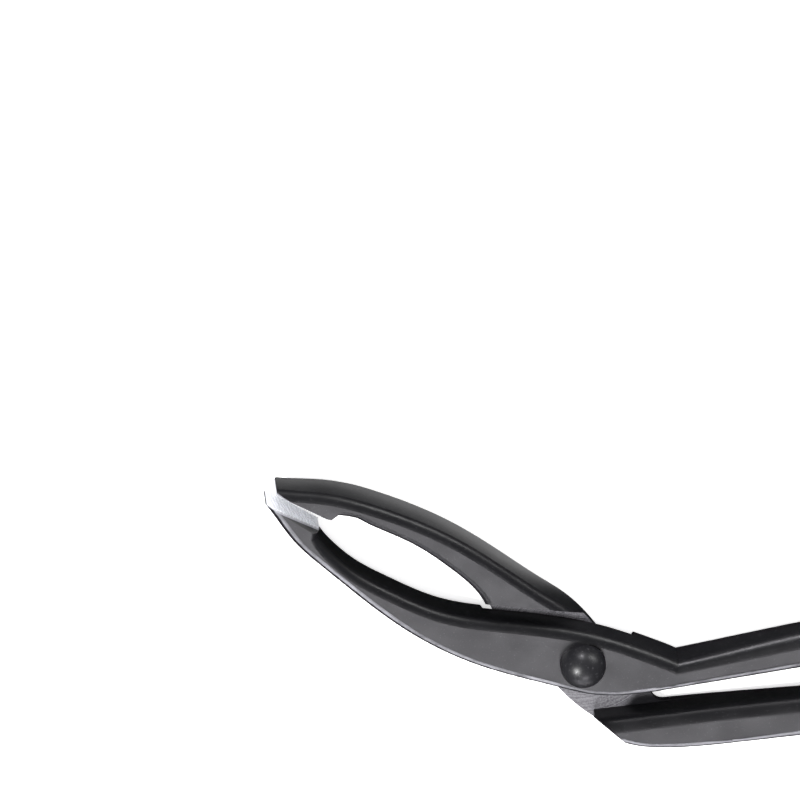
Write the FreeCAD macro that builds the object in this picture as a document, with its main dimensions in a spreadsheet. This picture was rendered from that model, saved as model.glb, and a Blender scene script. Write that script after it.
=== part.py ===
import FreeCAD, Part
import math
import os

# Scissor-handle tweezers: two cranked levers that cross on a domed rivet.
# Frame: +Z runs up the rivet towards its domed head, the origin lies on the rivet's axis in the plane
# that the backs rest on, and +X runs along the closed seam towards the tips. Millimetres, degrees.

DIMENSIONS = {
    "thickness": 3.7,            # both levers, front face to back
    "lap_height": 1.0,           # plate of the rear lever, under the front lever
    "lap_gap": 0.04,             # running gap between the two sliding faces
    "tip_thickness": 2.9,        # the backs slope up to leave this much at the tips
    "slope_start": 27.0,         # where that slope starts
    "tip_reach": 37.6,           # rivet to tips
    "tip_flat": 0.35,            # width of each blunt tip
    "land_start": 31.45,         # heel of the gripping lands
    "seam_gap": 0.02,            # half of what is left between the closed lands
    "rest_opening": 2.1,         # how far the rear lever stands open
    "front_shank_angle": 221.25,
    "rear_shank_angle": 219.55,
    "shank_width": 4.4,
    "bend_start": 20.0,          # the shank's inner side bends towards the ring from here
    "ring_along": 45.4,          # ring centre, along the shank
    "ring_offset": 15.2,         # ring centre, outwards from the shank's inner side
    "ring_radius": 12.5,
    "hole_radius": 9.5,
    "hollow_radius": 5.0,        # hollow between shank and ring
    "crotch_radius": 1.2,        # inner corner of the rear lever
    "jaw_round": 0.3,            # outer edge of the rear jaw, on the back
    "back_round": 0.6,           # outer edge of the front jaw, on the back
    "window_round": 0.85,        # all the other edges of the jaws
    "crank_round": 0.6,          # edges at the crank, on the back
    "shank_round": 1.4,          # edges of the shanks and rings
    "shoulder_round": 1.0,       # edges at the crank and beside the rear shank's nose, on the front
    "relief_depth": 0.8,         # how far the lands' long edges are sloped off at the heel
    "relief_width": 0.55,
    "step_lean": 1.75,           # how far the rear jaw's step leans back over its height
    "rib_pitch": 0.42,
    "rib_count": 13,
    "rib_depth": 0.12,
    "rib_slant": 16.0,
    "shaft_radius": 1.25,
    "running_fit": 0.04,         # radial, between the rivet and the rear lever
    "head_radius": 2.27,
    "head_rim": 0.35,            # straight part of the head under the dome
    "head_height": 2.55,
    "tail_radius": 2.0,
    "tail_depth": 0.6,
}

FRONT_SHANK = (-9.5, -1.35)      # where each shank's straight inner side starts
REAR_SHANK = (-11.1, 0.52)

doc = FreeCAD.newDocument("scissor_tweezers")
sheet = doc.addObject("Spreadsheet::Sheet", "sizes")
for row, (alias, value) in enumerate(DIMENSIONS.items(), 1):
    sheet.set(f"A{row}", alias)
    sheet.set(f"B{row}", str(value))
    sheet.setAlias(f"B{row}", alias)
doc.recompute()


def size(alias):
    return float(sheet.get(alias))


def vec(x, y, z=0.0):
    return FreeCAD.Vector(x, y, z)


def heading(degrees):
    return vec(math.cos(math.radians(degrees)), math.sin(math.radians(degrees)))


def towards(centre, point, distance):
    return centre + (point - centre).normalize() * distance


def spline(points, start, end):
    curve = Part.BSplineCurve()
    curve.interpolate(Points=[vec(*point) for point in points], InitialTangent=start, FinalTangent=end)
    return curve


def corner_arc(corner, heading_in, heading_out, radius):
    """The arc that rounds a left-hand turn at `corner`."""
    turn = math.radians(heading_out - heading_in)
    first = corner - heading(heading_in) * radius * math.tan(turn / 2)
    last = corner + heading(heading_out) * radius * math.tan(turn / 2)
    centre = first + heading(heading_in + 90) * radius
    return Part.Arc(first, towards(centre, corner, radius), last)


class Handle:
    """Shank and ring in their own directions: `along` the straight inner side, and `out` towards the ring."""

    def __init__(self, start, angle, out_side):
        self.start = vec(*start)
        self.along = heading(angle)
        self.out = heading(angle + 90 * out_side)
        self.ring = self.place(size("ring_along"), size("ring_offset"))

    def place(self, distance, offset):
        return self.start + self.along * distance + self.out * offset

    def curves(self, first, width):
        """Inner side from `first`, round the ring, and back up the outer side as far as the bend."""
        radius, hollow, bend = size("ring_radius"), size("hollow_radius"), size("bend_start")
        run, rise = size("ring_along") - bend, size("ring_offset")
        # a large arc leaves the inner side at the bend and runs into the ring from inside
        large = (run ** 2 + rise ** 2 - radius ** 2) / (2 * (rise - radius))
        large_centre = self.place(bend, large)
        bend_point = self.place(bend, 0)
        ring_entry = towards(self.ring, self.ring * 2 - large_centre, radius)
        large_middle = towards(large_centre, (bend_point + ring_entry) * 0.5, large)
        # the hollow is tangent to the outer side and to the ring
        back = math.sqrt((radius + hollow) ** 2 - (rise - width - hollow) ** 2)
        hollow_along = size("ring_along") - back
        hollow_centre = self.place(hollow_along, width + hollow)
        hollow_start = self.place(hollow_along, width)
        ring_exit = towards(self.ring, hollow_centre, radius)
        hollow_middle = towards(hollow_centre, (hollow_start + ring_exit) * 0.5, hollow)
        ring_middle = self.ring * 2 - ring_exit
        return [
            Part.LineSegment(first, bend_point),
            Part.Arc(bend_point, large_middle, ring_entry),
            Part.Arc(ring_entry, ring_middle, ring_exit),
            Part.Arc(ring_exit, hollow_middle, hollow_start),
        ]


def origin_plane(body, role):
    return [feature for feature in body.Origin.OriginFeatures if feature.Role == role][0]


def sketch_on(body, name, role, curves, height=0.0):
    sketch = body.newObject("Sketcher::SketchObject", name)
    sketch.AttachmentSupport = [(origin_plane(body, role), "")]
    sketch.MapMode = "FlatFace"
    sketch.AttachmentOffset = FreeCAD.Placement(vec(0, 0, height), FreeCAD.Rotation())
    for curve in curves:
        sketch.addGeometry(curve, False)
    return sketch


def polygon(points):
    ends = points[1:] + points[:1]
    return [Part.LineSegment(vec(*a), vec(*b)) for a, b in zip(points, ends)]


def padded(name, curves, length, height=0.0, role="XY_Plane", both_ways=False):
    """A body with one sketch padded by the expression `length`."""
    body = doc.addObject("PartDesign::Body", name)
    sketch = sketch_on(body, name + "_sketch", role, curves, height)
    pad = body.newObject("PartDesign::Pad", name + "_pad")
    pad.Profile = sketch
    pad.Midplane = both_ways
    pad.setExpression("Length", length)
    doc.recompute()
    return body


def rounded(name, blank, outline, hole):
    """Rounds the front and back edges of a blank. `outline` lists (curve, front radii, back radii)."""
    edges = []
    for number, edge in enumerate(blank.Shape.Edges, 1):
        box = edge.BoundBox
        if box.ZLength > 0.01:
            continue
        front = box.ZMin > 0.5
        middle = edge.valueAt((edge.FirstParameter + edge.LastParameter) / 2)
        flat = vec(middle.x, middle.y)
        if abs((flat - hole).Length - size("hole_radius")) < 0.01:
            edges.append((number, size("shank_round"), size("shank_round")))
            continue
        for curve, front_radii, back_radii in outline:
            half = curve.value((curve.FirstParameter + curve.LastParameter) / 2)
            if (half - flat).Length > 0.05:
                continue
            radii = front_radii if front else back_radii
            start = edge.Vertexes[0].Point
            if (vec(start.x, start.y) - curve.StartPoint).Length > 0.05:
                radii = radii[::-1]
            edges.append((number, *radii))
    fillet = doc.addObject("Part::Fillet", name)
    fillet.Base = blank
    fillet.Edges = edges
    doc.recompute()
    return fillet


def sloping_back(name):
    """A wedge that takes the backs of the jaws up towards the tips."""
    start, end = size("slope_start"), size("tip_reach")
    steepness = (size("thickness") - size("tip_thickness")) / (end - start)
    beyond = end + 3
    triangle = polygon([(start, 0), (start, -1), (beyond, -1), (beyond, steepness * (beyond - start))])
    return padded(name, triangle, "20", role="XZ_Plane", both_ways=True)


def rib_cutters(name, side):
    """Slanted bars that cut the cross ribs into a land. `side` is +1 for the front lever, -1 for the rear."""
    bars = []
    middle = (size("land_start") + size("tip_reach")) / 2
    for number in range(int(size("rib_count"))):
        bar = doc.addObject("Part::Prism", f"{name}_{number + 1}")
        bar.Polygon = 3
        bar.setExpression("Circumradius", "2 * sizes.rib_depth")
        bar.setExpression("Height", "2 * sizes.thickness")
        lean = FreeCAD.Rotation(vec(0, 1, 0), -size("rib_slant"))
        spin = FreeCAD.Rotation(vec(0, 0, 1), 90 * side)
        turn = lean.multiply(spin)
        along = middle + (number - (size("rib_count") - 1) / 2) * size("rib_pitch")
        centre = vec(along, side * (size("seam_gap") - size("rib_depth")), size("thickness") / 2)
        bar.Placement = FreeCAD.Placement(centre - turn.multVec(vec(0, 0, size("thickness"))), turn)
        bars.append(bar)
    return bars


def land_relief(name, tip, heel, inward, outward):
    """A block that slopes off a land's long edge: nothing at the tip, most at the heel.
    `inward` runs down the land at the heel, `outward` over the lever's face."""
    run = (tip - (heel + inward)).normalize()
    normal = run.cross(outward - inward).normalize()
    if normal.dot(inward) > 0:
        normal = normal * -1
    block = doc.addObject("Part::Box", name)
    block.setExpression("Length", "sizes.tip_reach - sizes.land_start + 4")
    block.setExpression("Width", "2 * sizes.thickness")
    block.setExpression("Height", "sizes.thickness")
    across = normal.cross(run)
    corner = heel + inward - run * 2 - across * size("thickness")
    block.Placement = FreeCAD.Placement(corner, FreeCAD.Rotation(run, across, normal, "XZY"))
    return block


def land_reliefs(name, side):
    """The sloped-off edges of one land, on the front and on the back."""
    seam, tip, heel = side * size("seam_gap"), size("tip_reach"), size("land_start")
    slope = (size("thickness") - size("tip_thickness")) / (tip - size("slope_start"))
    depth, width, face = size("relief_depth"), size("relief_width"), size("thickness")
    outward = vec(0, side * width)
    front = [vec(x, seam, face) for x in (tip, heel)]
    back = [vec(x, seam, slope * (x - size("slope_start"))) for x in (tip, heel)]
    return [
        land_relief(name + "_front", *front, vec(0, 0, -depth), outward),
        land_relief(name + "_back", *back, vec(0, 0, depth), outward),
    ]


def drilled(name, radius, tail_radius=None):
    """Pivot hole, with a countersink for the rivet's tail if `tail_radius` is given."""
    hole = doc.addObject("Part::Cylinder", name)
    hole.setExpression("Radius", radius)
    hole.setExpression("Height", "sizes.thickness + 2")
    hole.Placement = FreeCAD.Placement(vec(0, 0, -1), FreeCAD.Rotation())
    if not tail_radius:
        return [hole]
    sink = doc.addObject("Part::Cone", name + "_countersink")
    sink.setExpression("Radius1", tail_radius)
    sink.setExpression("Radius2", radius)
    sink.setExpression("Height", "sizes.tail_depth")
    return [hole, sink]


def cut(label, base, tools):
    cutters = doc.addObject("Part::MultiFuse", label + "_cutters")
    cutters.Shapes = tools
    part = doc.addObject("Part::Cut", label)
    part.Label = label
    part.Base = base
    part.Tool = cutters
    doc.recompute()
    return part


def lever(label, handle, runs, land_side, plain_tools, hole_tools):
    """`runs` lists the outline's curves in order, each with its radii on the front and on the back."""
    ring_hole = Part.Circle(handle.ring, vec(0, 0, 1), size("hole_radius"))
    blank = padded(label + "_blank", [curve for curve, _, _ in runs] + [ring_hole], "sizes.thickness")
    soft = rounded(label + "_rounded", blank, [run for run in runs if run[1]], handle.ring)
    tools = plain_tools + hole_tools + rib_cutters(label + "_rib", land_side)
    tools += land_reliefs(label + "_relief", land_side)
    tools.append(sloping_back(label + "_slope"))
    return cut(label, soft, tools)


def land_lines(side, window_end):
    """Heel, land and blunt tip, from the window's end to the start of the outer side."""
    seam, tip = side * size("seam_gap"), size("tip_reach")
    heel = vec(size("land_start"), seam)
    corner = vec(tip, seam)
    return [
        Part.LineSegment(vec(*window_end), heel),
        Part.LineSegment(heel, corner),
        Part.LineSegment(corner, vec(tip, side * size("tip_flat"))),
    ]


def front_lever():
    back, window, crank = size("back_round"), size("window_round"), size("crank_round")
    shank, shoulder = size("shank_round"), size("shoulder_round")
    handle = Handle(FRONT_SHANK, size("front_shank_angle"), 1)
    width = size("shank_width")
    grip = handle.curves(handle.start, width)
    widest, crease = handle.place(21.0, width), handle.place(1.4, 3.05)
    window_end = (31.1, 0.75)
    outer = spline([(size("tip_reach"), size("tip_flat")), (33, 2.5), (28, 3.85), (18, 5.78), (8, 5.65),
                    (0, 3.85), FRONT_SHANK], vec(-1, 0.42), handle.along)
    widening = spline([(widest.x, widest.y), (crease.x, crease.y)],
                      handle.along * -1, handle.along * -1 - handle.out * 0.08)
    inner = spline([(crease.x, crease.y), (-5.9, -4.33), (0, -3.35), (8.35, -0.35), (15.6, 2.28),
                    (21, 2.68), (24.9, 2.62), (27.8, 2.05), (29.5, 1.5), window_end],
                   vec(1, 0.02), vec(1, -0.5))
    heel, land, flat = land_lines(1, window_end)
    straight = Part.LineSegment(grip[-1].EndPoint, widest)
    runs = [(outer, (window, window), (back, back)), (grip[0], (window, shank), (back, shank))]
    runs += [(curve, (shank, shank), (shank, shank)) for curve in grip[1:] + [straight]]
    runs += [(widening, (shank, shoulder), (shank, crank)), (inner, (shoulder, window), (crank, window))]
    runs += [(heel, (window, window), (window, window)), (land, None, None), (flat, None, None)]
    # the back is cut away where the rear lever's plate passes and turns
    recess = polygon([(-3.4, -6), (-4.3, -1.75), (-10.6, 0.62), (-10.6, 4), (-1.3, 7), (-1.3, 5.8),
                      (10, 1.8), (13.8, -0.35), (13.8, -6)])
    recess_tool = padded("front_lever_recess", recess, "sizes.lap_height + sizes.lap_gap + 1", -1.0)
    hole = drilled("front_lever_hole", "sizes.shaft_radius")
    return lever("front_lever", handle, runs, 1, [recess_tool], hole)


def step_tool(name, foot, angle, lean, rounding):
    """Clears what stands over the plate on the left of a line through `foot`. The wall that it leaves
    leans back by `lean`, or stands upright with an edge rounded by `rounding`."""
    floor, face, over, reach = size("lap_height"), size("thickness"), size("thickness") + 1, 40.0
    if lean:
        top = vec(-lean * (over - floor) / (face - floor), over)
        wall = [Part.LineSegment(top, vec(0, floor))]
    else:
        top = vec(-rounding, over)
        edge, middle = vec(-rounding, face), towards(vec(-rounding, face - rounding), vec(0, face), rounding)
        wall = [Part.LineSegment(top, edge), Part.Arc(edge, middle, vec(0, face - rounding)),
                Part.LineSegment(vec(0, face - rounding), vec(0, floor))]
    rest = [vec(0, floor), vec(reach, floor), vec(reach, over), top]
    wall += [Part.LineSegment(first, second) for first, second in zip(rest, rest[1:])]
    tool = padded(name, wall, "40", role="YZ_Plane", both_ways=True)
    tool.Placement = FreeCAD.Placement(vec(*foot), FreeCAD.Rotation(vec(0, 0, 1), angle))
    doc.recompute()
    return tool


def rear_recess():
    """The space over the rear lever's plate, between the jaw's step and the shank's wall and nose."""
    shank_wall = step_tool("shank_wall", (-6.67, 4.42), size("rear_shank_angle") + 1, 0, size("shank_round"))
    nose = step_tool("shank_nose", (-5.62, 5.27), 306.0, 0, size("shoulder_round"))
    slope = step_tool("shank_nose_slope", (-6.2, 6.08), 347.0, 1.3, 0)
    either = doc.addObject("Part::MultiFuse", "shank_end")
    either.Shapes = [shank_wall, nose, slope]
    jaw_step = step_tool("jaw_step", (5.5, -2.05), 26.1, size("step_lean"), 0)
    recess = doc.addObject("Part::MultiCommon", "rear_lever_recess")
    recess.Shapes = [either, jaw_step]
    doc.recompute()
    return recess


def rear_lever():
    jaw, back, window = size("jaw_round"), size("back_round"), size("window_round")
    shank, shoulder = size("shank_round"), size("shoulder_round")
    angle = size("rear_shank_angle")
    handle = Handle(REAR_SHANK, angle, -1)
    neck_foot, neck_heading = vec(0.2, -2.93), 159.5
    # where the neck's lower side meets the shank's inner side
    offset = handle.start - neck_foot
    side = vec(-handle.along.y, handle.along.x)
    reach = offset.dot(side) / heading(neck_heading).dot(side)
    crotch = corner_arc(neck_foot + heading(neck_heading) * reach, neck_heading, angle, size("crotch_radius"))
    width = size("shank_width") + 0.2
    grip = handle.curves(crotch.EndPoint, width)
    bend = handle.place(6.0, width)
    straight = Part.LineSegment(grip[-1].EndPoint, bend)
    window_end = (31.2, -0.95)
    outer = spline([(size("tip_reach"), -size("tip_flat")), (33.4, -2.42), (28.25, -3.95), (18.2, -5.05),
                    (8.1, -4.4), (neck_foot.x, neck_foot.y)], vec(-1, -0.42), heading(neck_heading))
    neck = Part.LineSegment(neck_foot, crotch.StartPoint)
    inner = spline([(bend.x, bend.y), (-12.6, 4.65), (-10.5, 5.62), (-8.3, 6.02), (-1.3, 5.15),
                    (4.5, 2.95), (9.76, 1.16), (13.04, -0.75), (18.08, -1.97), (23.1, -2.28), (28.1, -1.85),
                    window_end], handle.along * -1, vec(1, 0.5))
    runs = [(outer, (window, window), (jaw, jaw)), (neck, (window, shank), (jaw, back))]
    runs += [(crotch, (shank, shank), (back, back)), (grip[0], (shank, shank), (back, shank))]
    runs += [(curve, (shank, shank), (shank, shank)) for curve in grip[1:]]
    runs += [(straight, (shank, shoulder), (shank, shank))]
    runs += [(inner, (shoulder, window), (shank, window))]
    runs += [(curve, None, None) for curve in land_lines(-1, window_end)]
    fit = " + sizes.running_fit"
    hole = drilled("rear_lever_hole", "sizes.shaft_radius" + fit, "sizes.tail_radius" + fit)
    part = lever("rear_lever", handle, runs, -1, [rear_recess()], hole)
    part.Placement = FreeCAD.Placement(vec(0, 0), FreeCAD.Rotation(vec(0, 0, -1), size("rest_opening")))
    part.setExpression("Placement.Rotation.Angle", "sizes.rest_opening")
    doc.recompute()
    return part


def pivot_rivet():
    body = doc.addObject("PartDesign::Body", "pivot_rivet")
    body.Label = "pivot_rivet"
    shaft, head, tail = size("shaft_radius"), size("head_radius"), size("tail_radius")
    top, rim = size("thickness"), size("thickness") + size("head_rim")
    crown = top + size("head_height")
    # the dome is an arc through the rim, the crown and a shoulder between them
    rise = crown - rim
    bulge = (head ** 2 + rise ** 2) / (2 * rise)
    lean = math.asin(head / bulge) / 2 if rise < head else math.pi / 4
    shoulder = vec(bulge * math.sin(lean), crown - bulge + bulge * math.cos(lean))
    corners = [(0, 0), (tail, 0), (shaft, size("tail_depth")), (shaft, top), (head, top), (head, rim)]
    profile = [Part.LineSegment(vec(*a), vec(*b)) for a, b in zip(corners, corners[1:])]
    profile.append(Part.Arc(vec(head, rim), shoulder, vec(0, crown)))
    profile.append(Part.LineSegment(vec(0, crown), vec(0, 0)))
    sketch = sketch_on(body, "rivet_profile", "XZ_Plane", profile)
    turned = body.newObject("PartDesign::Revolution", "rivet_turned")
    turned.Profile = sketch
    turned.ReferenceAxis = (sketch, ["V_Axis"])
    turned.Angle = 360
    doc.recompute()
    return body


def check(parts):
    for item in doc.Objects:
        if "Invalid" in item.State or "Error" in item.State:
            raise RuntimeError(f"{item.Label} failed: {item.State}")
    for part in parts:
        if part.Shape.isNull() or not part.Shape.isValid():
            raise RuntimeError(f"{part.Label} has no valid shape")
        if len(part.Shape.Solids) != 1:
            raise RuntimeError(f"{part.Label} has {len(part.Shape.Solids)} solids")


parts = [front_lever(), rear_lever(), pivot_rivet()]
doc.recompute()
check(parts)
os.makedirs("parts", exist_ok=True)
for part in parts:
    part.Shape.exportStep(f"parts/{part.Label}.step")
    print(part.Label, round(part.Shape.Volume, 1), "mm3", part.Shape.BoundBox)
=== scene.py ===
import math

import bpy
from mathutils import Matrix, Vector


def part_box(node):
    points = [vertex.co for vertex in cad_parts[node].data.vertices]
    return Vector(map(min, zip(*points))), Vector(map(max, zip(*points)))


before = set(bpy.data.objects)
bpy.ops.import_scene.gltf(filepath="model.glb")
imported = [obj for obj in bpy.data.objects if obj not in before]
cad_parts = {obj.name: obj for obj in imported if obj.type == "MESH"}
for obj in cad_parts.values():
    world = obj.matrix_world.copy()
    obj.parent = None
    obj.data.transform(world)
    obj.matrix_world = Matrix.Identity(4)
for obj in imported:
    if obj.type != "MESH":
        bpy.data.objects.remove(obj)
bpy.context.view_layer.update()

MM = 0.001

# Sizes of the object that its looks follow, in metres, in the frame of the closed tool.
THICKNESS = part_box("front_lever")[1].z
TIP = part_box("front_lever")[1].x
LAND_START = TIP - 6.15 * MM         # heel of the ribbed gripping lands
LAND_SKIN = 0.16 * MM                # how far the bare steel reaches from the seam
GROOVE_SHADE_DEPTHS = (0.04 * MM, 0.13 * MM)     # from the seam: where the painted shade in the ribs' grooves starts and where it is darkest
PLATE_TOP = 1.0 * MM                 # face of the rear lever's thin plate
PLATE_ENDS = (-7.5 * MM, 15.0 * MM)  # the plate's ends along the tool
REST_OPENING = math.radians(2.1)     # the rear lever's turn from closed, as stored

# Colours.
WHITE = (1, 1, 1, 1)
COAT = ((0.004, 0.004, 0.005, 1), (0.007, 0.0069, 0.0085, 1))
COAT_SPECK = (0.07, 0.068, 0.075, 1)
SCUFFED_PLATE = ((0.05, 0.048, 0.056, 1), (0.19, 0.187, 0.2, 1))
# lighter coat on the upper edges that face +Y: partly rubbed wear, partly a painted highlight
RUBBED_COAT_AND_HIGHLIGHT = (0.22, 0.22, 0.24, 1)
STEEL = ((0.70, 0.71, 0.75, 1), (0.97, 0.98, 1.0, 1))
# the bare steel darkened by painted shade deep in the ribs' grooves
STEEL_IN_GROOVE_SHADE = (0.46, 0.46, 0.50, 1)
RIVET_COAT = (0.010, 0.010, 0.012, 1)
RIVET_SPECK = (0.05, 0.05, 0.055, 1)
PAPER = ((0.93, 0.93, 0.93, 1), (0.97, 0.97, 0.97, 1))

# Roughness of each finish, as one value or as its range.
COAT_ROUGH = (0.33, 0.4)
RUBBED_ROUGH = 0.24
PLATE_ROUGH = 0.5
STEEL_ROUGH = 0.42
RIVET_ROUGH = (0.34, 0.42)
PAPER_ROUGH = 0.9

# Scales of the patterns, per metre, and how far the grain stands up.
GRAIN = 6500
CLOUDS = 300
SPECKS = 5200
SCUFF_ARCS = 9000.0
BRUSHING = (2600, 2600, 9000)
RIVET_DENTS = 700
RIVET_GRAIN = 6000
RIVET_SPECKS = 4200
PAPER_FIBRE = 900
GRAIN_HEIGHT = 0.012 * MM

SPECK_CUT = (0.64, 0.72)             # the noise values over which a speck appears
NOISE_MIDDLE = (0.3, 0.7)            # the middle of the values that a noise gives

# The view: a long lens, well above the tool, with the tool's upper side turned down in the picture.
VIEW_AZIMUTH = math.radians(41.6)
VIEW_ELEVATION = math.radians(55.1)
VIEW_ROLL = math.radians(170.8)
VIEW_WIDTH = 79.2 * MM
VIEW_LENS = 600.0
VIEW_CLIP = (0.01, 50)
AIM_LEFT = 18.1 * MM                 # from the rivet to the middle of the view
AIM_UP = 26.1 * MM

# The floor, and how it and the surroundings look in reflections.
FLOOR_REACH = 3.0
FLOOR_DROP = 0.02 * MM
FLOOR_GLOW = 0.6
TENT = 0.95
TENT_IN_GLOSS = 0.10
FLOOR_IN_GLOSS = 0.015
JAW_WIDEST = (18.2 * MM, -5.05 * MM)  # where the rear jaw's outer side stands out most
JAW_BOW = 11.5                        # how fast that side falls back from there, per metre
STRIP_WIDTH = 1.8 * MM
STRIP_BRIGHT = 1.5

# The soft lights: name, azimuth, elevation, distance, width, height, power and tint.
VIOLET = (0.97, 0.95, 1.0)
PLAIN = (1, 1, 1)
LIGHTS = [
    ("key", 221.6, 55, 0.9, 0.42, 0.30, 2.4, VIOLET),
    ("rim", 208, 24, 0.7, 0.60, 0.08, 1.1, VIOLET),
    ("streak", 41.6, 7, 0.6, 0.12, 0.08, 1.4, VIOLET),
    ("spark", 125, 54, 0.6, 0.12, 0.12, 4.2, PLAIN),
    ("land", 350, 8, 0.5, 0.30, 0.10, 0.8, PLAIN),
]


def towards(azimuth, elevation):
    """The unit vector from the object to a camera or light at these angles, in radians."""
    return Vector((math.sin(azimuth) * math.cos(elevation),
                   -math.cos(azimuth) * math.cos(elevation),
                   math.sin(elevation)))


def camera():
    """The camera, aimed from the rivet's foot on the front lever's face."""
    back = towards(VIEW_AZIMUTH, VIEW_ELEVATION)
    turn = back.to_track_quat("Z", "Y").to_matrix() @ Matrix.Rotation(VIEW_ROLL, 3, "Z")
    right, up = turn.col[0], turn.col[1]
    target = Vector((0, 0, THICKNESS)) - right * AIM_LEFT + up * AIM_UP
    data = bpy.data.cameras.new("camera")
    data.lens = VIEW_LENS
    distance = VIEW_WIDTH * VIEW_LENS / data.sensor_width
    data.clip_start, data.clip_end = VIEW_CLIP
    seen = bpy.data.objects.new("camera", data)
    seen.matrix_world = Matrix.Translation(target + back * distance) @ turn.to_4x4()
    bpy.context.collection.objects.link(seen)
    bpy.context.scene.camera = seen


def softbox(name, azimuth, elevation, distance, width, height, power, tint):
    """A rectangular soft light. Azimuth and elevation say where it stands, as for a camera."""
    back = towards(math.radians(azimuth), math.radians(elevation))
    data = bpy.data.lights.new(name, "AREA")
    data.shape = "RECTANGLE"
    data.size = width
    data.size_y = height
    data.energy = power
    data.color = tint
    light = bpy.data.objects.new(name, data)
    turn = back.to_track_quat("Z", "Y").to_matrix().to_4x4()
    light.matrix_world = Matrix.Translation(back * distance) @ turn
    bpy.context.collection.objects.link(light)


class Shader:
    """A node material, with short calls for the nodes that the looks are made of."""

    def __init__(self, name):
        self.material = bpy.data.materials.new(name)
        self.material.use_nodes = True
        self.tree = self.material.node_tree
        self.surface = self.tree.nodes["Principled BSDF"]

    def node(self, kind, inputs=None, **settings):
        made = self.tree.nodes.new(kind)
        for key, value in settings.items():
            setattr(made, key, value)
        for key, value in (inputs or {}).items():
            self.feed(made.inputs[key], value)
        return made

    def feed(self, socket, value):
        if isinstance(value, bpy.types.NodeSocket):
            self.tree.links.new(value, socket)
        else:
            socket.default_value = value

    def math(self, operation, a, b=0.0):
        return self.node("ShaderNodeMath", {0: a, 1: b}, operation=operation).outputs[0]

    def product(self, first, *others):
        """Masks multiplied together."""
        for other in others:
            first = self.math("MULTIPLY", first, other)
        return first

    def axes(self, vector):
        """The X, Y and Z of a vector."""
        return tuple(self.node("ShaderNodeSeparateXYZ", {0: vector}).outputs)

    def place(self, turn=0.0, scale=(1, 1, 1)):
        """Coordinates that stay with the piece, turned about the rivet and scaled."""
        coordinates = self.node("ShaderNodeTexCoord").outputs["Object"]
        if not turn and scale == (1, 1, 1):
            return coordinates
        inputs = {"Vector": coordinates, "Rotation": (0, 0, turn), "Scale": scale}
        return self.node("ShaderNodeMapping", inputs).outputs[0]

    def noise(self, coordinates, scale, detail=2.0, roughness=0.5):
        inputs = {"Vector": coordinates, "Scale": scale, "Detail": detail, "Roughness": roughness}
        return self.node("ShaderNodeTexNoise", inputs).outputs[0]

    def rings(self, distance, scale, detail):
        """Noise that varies only with one distance."""
        inputs = {"W": distance, "Scale": scale, "Detail": detail}
        return self.node("ShaderNodeTexNoise", inputs, noise_dimensions="1D").outputs[0]

    def ramp(self, value, low, high, to_low=0.0, to_high=1.0):
        """Passes smoothly from `to_low` at `low` to `to_high` at `high`."""
        inputs = {0: value, 1: low, 2: high, 3: to_low, 4: to_high}
        return self.node("ShaderNodeMapRange", inputs, interpolation_type="SMOOTHSTEP").outputs[0]

    def mix(self, share, a, b):
        """Mixes two colours."""
        return self.node("ShaderNodeMix", {0: share, 6: a, 7: b}, data_type="RGBA").outputs[2]

    def blend(self, share, a, b):
        """Mixes two numbers."""
        return self.node("ShaderNodeMix", {0: share, 2: a, 3: b}, data_type="FLOAT").outputs[0]

    def bump(self, height, distance, strength):
        inputs = {"Height": height, "Distance": distance, "Strength": strength}
        return self.node("ShaderNodeBump", inputs).outputs[0]

    def show_in_gloss(self, brightness):
        """Shows the surface as it is to the camera, and as glowing this brightly in reflections."""
        card = self.node("ShaderNodeEmission", {"Strength": brightness}).outputs[0]
        rays = self.node("ShaderNodeLightPath").outputs["Is Glossy Ray"]
        either = self.node("ShaderNodeMixShader", {0: rays, 1: self.surface.outputs[0], 2: card}).outputs[0]
        self.feed(self.tree.nodes["Material Output"].inputs["Surface"], either)

    def set(self, **inputs):
        for key, value in inputs.items():
            self.feed(self.surface.inputs[key.replace("_", " ")], value)


def land_mask(shader, along, from_seam, upward):
    """The bare steel: close to the seam, past the heel, and fainter on the land's sloped long edges."""
    return shader.product(
        shader.ramp(from_seam, LAND_SKIN, LAND_SKIN + 0.06 * MM, 1.0, 0.0),
        shader.ramp(along, LAND_START - 0.12 * MM, LAND_START + 0.02 * MM),
        shader.ramp(shader.math("ABSOLUTE", upward), 0.3, 0.6, 1.0, 0.55))


def rubbed_and_highlight_mask(shader, along, height, facing, clouds, worn_and_highlit_to):
    """The polished line where the upper edges that face +Y start to round over, in patches: its lighter coat
    is partly rubbed wear and partly a painted highlight on the rim light's side.
    """
    return shader.product(
        shader.ramp(facing[2], 0.995, 0.975),
        shader.ramp(facing[2], 0.84, 0.92),
        shader.ramp(facing[1], 0.08, 0.2),
        shader.ramp(height, THICKNESS - 0.3 * MM, THICKNESS - 0.2 * MM),
        shader.ramp(along, worn_and_highlit_to, worn_and_highlit_to + MM, 1.0, 0.0),
        shader.ramp(clouds, 0.3, 0.6, 0.3, 0.9))


def plate_mask(shader, along, height, upward):
    """The upper face of the rear lever's thin plate."""
    return shader.product(
        shader.ramp(upward, 0.8, 0.95),
        shader.ramp(height, PLATE_TOP * 1.2, PLATE_TOP * 1.1),
        shader.ramp(height, PLATE_TOP * 0.8, PLATE_TOP * 0.9),
        shader.ramp(along, PLATE_ENDS[0] - MM, PLATE_ENDS[0]),
        shader.ramp(along, PLATE_ENDS[1], PLATE_ENDS[1] + MM, 1.0, 0.0))


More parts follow.
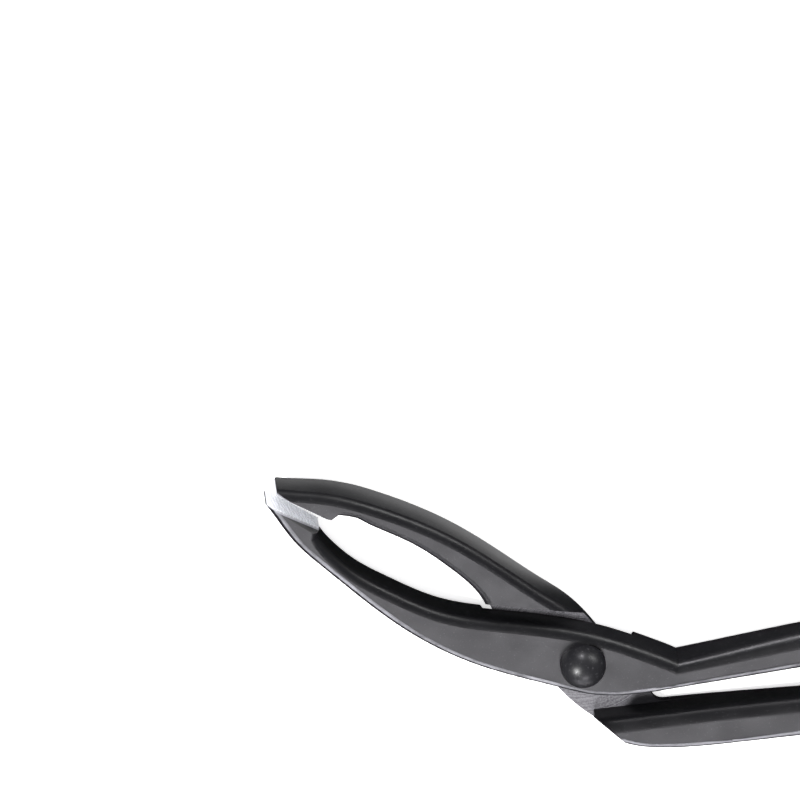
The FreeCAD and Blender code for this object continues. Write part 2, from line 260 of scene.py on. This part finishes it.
def lever_finish(name, turn, worn_and_highlit_to):
    """Satin black, with a bare land that has painted shade in its ribs' grooves, a scuffed plate, and upper
    edges that face +Y polished and lightened, partly by wear and partly by a painted highlight, as far along
    as the last argument.
    """
    shader = Shader(name)
    closed = shader.place(turn)
    along, across, height = shader.axes(closed)
    facing = shader.axes(shader.node("ShaderNodeTexCoord").outputs["Normal"])
    grain = shader.noise(closed, GRAIN, 3.0, 0.65)
    clouds = shader.noise(closed, CLOUDS, 4.0, 0.6)
    specks = shader.ramp(shader.noise(closed, SPECKS), *SPECK_CUT)
    from_seam = shader.math("ABSOLUTE", across)
    bare = land_mask(shader, along, from_seam, facing[2])
    rubbed_and_highlight = rubbed_and_highlight_mask(shader, along, height, facing, clouds, worn_and_highlit_to)
    plate = plate_mask(shader, along, height, facing[2])

    # the plate is scuffed in arcs about the rivet by the lever that slides over it
    radius = shader.node("ShaderNodeVectorMath", {0: closed}, operation="LENGTH").outputs["Value"]
    arcs = shader.rings(radius, SCUFF_ARCS, 3.0)
    scuff = shader.blend(shader.ramp(clouds, *NOISE_MIDDLE, 0.3, 0.7), arcs, grain)

    coat = shader.mix(clouds, *COAT)
    coat = shader.mix(shader.math("MULTIPLY", specks, 0.25), coat, COAT_SPECK)
    coat = shader.mix(plate, coat, shader.mix(shader.ramp(scuff, 0.35, 0.65), *SCUFFED_PLATE))
    # upper edges that face +Y made lighter: rubbed wear with a painted highlight
    coat = shader.mix(rubbed_and_highlight, coat, RUBBED_COAT_AND_HIGHLIGHT)
    brushed = shader.noise(shader.place(turn, BRUSHING), 1.0, 3.0)
    # bare steel, brushed, with painted shade deeper in the ribs' grooves
    steel = shader.mix(shader.ramp(from_seam, *GROOVE_SHADE_DEPTHS), shader.mix(brushed, *STEEL), STEEL_IN_GROOVE_SHADE)
    rough = shader.blend(rubbed_and_highlight, shader.ramp(clouds, *NOISE_MIDDLE, *COAT_ROUGH), RUBBED_ROUGH)
    rough = shader.blend(plate, rough, PLATE_ROUGH)
    shader.set(Base_Color=shader.mix(bare, coat, steel),
               Metallic=shader.math("MULTIPLY", bare, 0.3),
               Roughness=shader.blend(bare, rough, STEEL_ROUGH),
               Normal=shader.bump(shader.blend(plate, grain, scuff), GRAIN_HEIGHT, 0.6))
    return shader.material


def rivet_finish():
    """Black, with shallow dents from the setting tool."""
    shader = Shader("rivet_finish_look")
    place = shader.place()
    dents = shader.noise(place, RIVET_DENTS, 3.0)
    grain = shader.noise(place, RIVET_GRAIN)
    specks = shader.ramp(shader.noise(place, RIVET_SPECKS), *SPECK_CUT)
    shader.set(Base_Color=shader.mix(specks, RIVET_COAT, RIVET_SPECK),
               Roughness=shader.ramp(grain, *NOISE_MIDDLE, *RIVET_ROUGH),
               Normal=shader.bump(shader.blend(0.35, dents, grain), GRAIN_HEIGHT, 0.5))
    return shader.material


def under_light(shader):
    """The floor's brightness in reflections: dark, but for a painted strip along the rear jaw's outer side."""
    along, across, _ = shader.axes(shader.place(REST_OPENING))
    from_widest = shader.math("SUBTRACT", along, JAW_WIDEST[0])
    bow = shader.product(from_widest, from_widest, JAW_BOW)
    outward = shader.math("SUBTRACT", shader.math("ADD", bow, JAW_WIDEST[1]), across)
    strip = shader.ramp(outward, 0.4 * MM, STRIP_WIDTH, STRIP_BRIGHT, FLOOR_IN_GLOSS)
    beside = shader.ramp(along, 0.0, 6 * MM)
    inner = shader.ramp(outward, -0.8 * MM, -0.4 * MM)
    return shader.blend(shader.math("MULTIPLY", beside, inner), FLOOR_IN_GLOSS, strip)


def floor():
    """A plain pale floor under the whole tool."""
    reach = FLOOR_REACH
    corners = [(-reach, -reach, 0), (reach, -reach, 0), (reach, reach, 0), (-reach, reach, 0)]
    mesh = bpy.data.meshes.new("floor")
    mesh.from_pydata(corners, [], [(0, 1, 2, 3)])
    plane = bpy.data.objects.new("floor", mesh)
    plane.location.z = -FLOOR_DROP
    shader = Shader("floor_paper")
    fibre = shader.noise(shader.place(), PAPER_FIBRE, 3.0)
    shader.set(Base_Color=shader.mix(fibre, *PAPER), Roughness=PAPER_ROUGH,
               Emission_Color=WHITE, Emission_Strength=FLOOR_GLOW)
    shader.show_in_gloss(under_light(shader))
    mesh.materials.append(shader.material)
    bpy.context.collection.objects.link(plane)


def surroundings():
    """White all round, but dim in every reflection."""
    world = bpy.data.worlds.new("studio")
    world.use_nodes = True
    tree = world.node_tree
    bright = tree.nodes["Background"]
    dim = tree.nodes.new("ShaderNodeBackground")
    for background, strength in ((bright, TENT), (dim, TENT_IN_GLOSS)):
        background.inputs["Color"].default_value = WHITE
        background.inputs["Strength"].default_value = strength
    rays = tree.nodes.new("ShaderNodeLightPath")
    either = tree.nodes.new("ShaderNodeMixShader")
    tree.links.new(rays.outputs["Is Glossy Ray"], either.inputs[0])
    tree.links.new(bright.outputs[0], either.inputs[1])
    tree.links.new(dim.outputs[0], either.inputs[2])
    tree.links.new(either.outputs[0], tree.nodes["World Output"].inputs["Surface"])
    bpy.context.scene.world = world


def dress(node, material):
    """Gives a CAD node its finish."""
    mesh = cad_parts[node].data
    mesh.materials.clear()
    mesh.materials.append(material)


bpy.context.scene.view_settings.view_transform = "Standard"
camera()
surroundings()
for light in LIGHTS:
    softbox(*light)
floor()
dress("front_lever", lever_finish("front_finish_look", 0.0, TIP))
dress("rear_lever", lever_finish("rear_finish_look", REST_OPENING, PLATE_ENDS[0]))
dress("pivot_rivet", rivet_finish())
